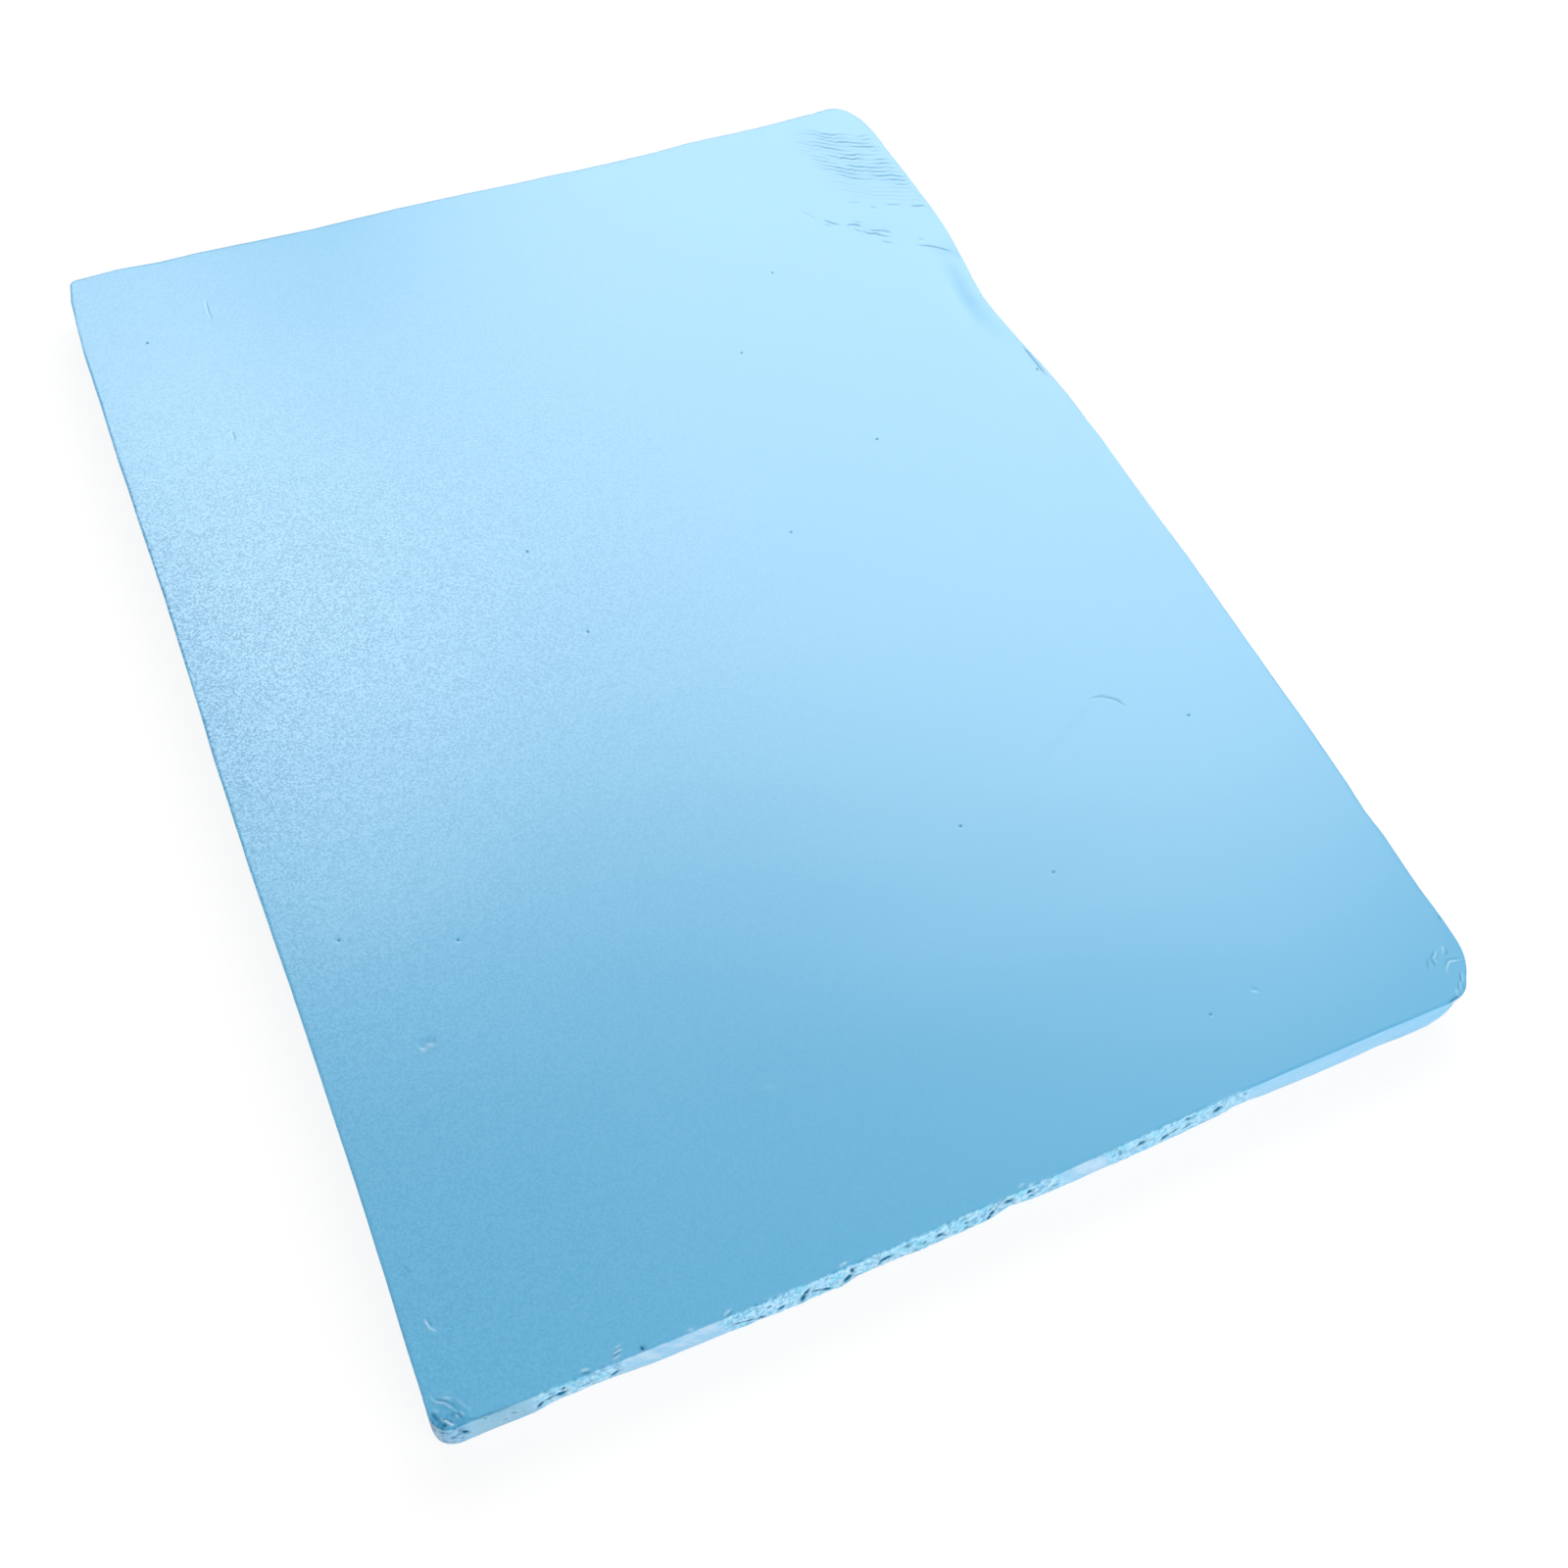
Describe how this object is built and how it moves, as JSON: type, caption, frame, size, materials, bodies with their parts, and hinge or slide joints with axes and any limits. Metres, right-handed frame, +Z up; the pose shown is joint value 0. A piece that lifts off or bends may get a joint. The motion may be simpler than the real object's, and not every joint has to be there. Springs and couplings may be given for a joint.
{
  "type": "foam block",
  "caption": "Thin rectangular sheet of soft blue foam with a smooth skin, crisp wavy edges, one curled wrinkled corner and a torn front face, lying flat on its base.",
  "frame": {"origin": "middle of the bounding box on the flat base the sheet lies on", "axes": "+X to the right along the short side, +Y to the back along the long side, +Z up through the thickness"},
  "size_m": [0.3, 0.405, 0.0171],
  "materials": {
    "foam": "soft closed-cell foam with a smooth matt skin and a faint sheen, paler where the front face is torn"
  },
  "bodies": {
    "root": {"foam_block": "foam"}
  },
  "joints": []
}
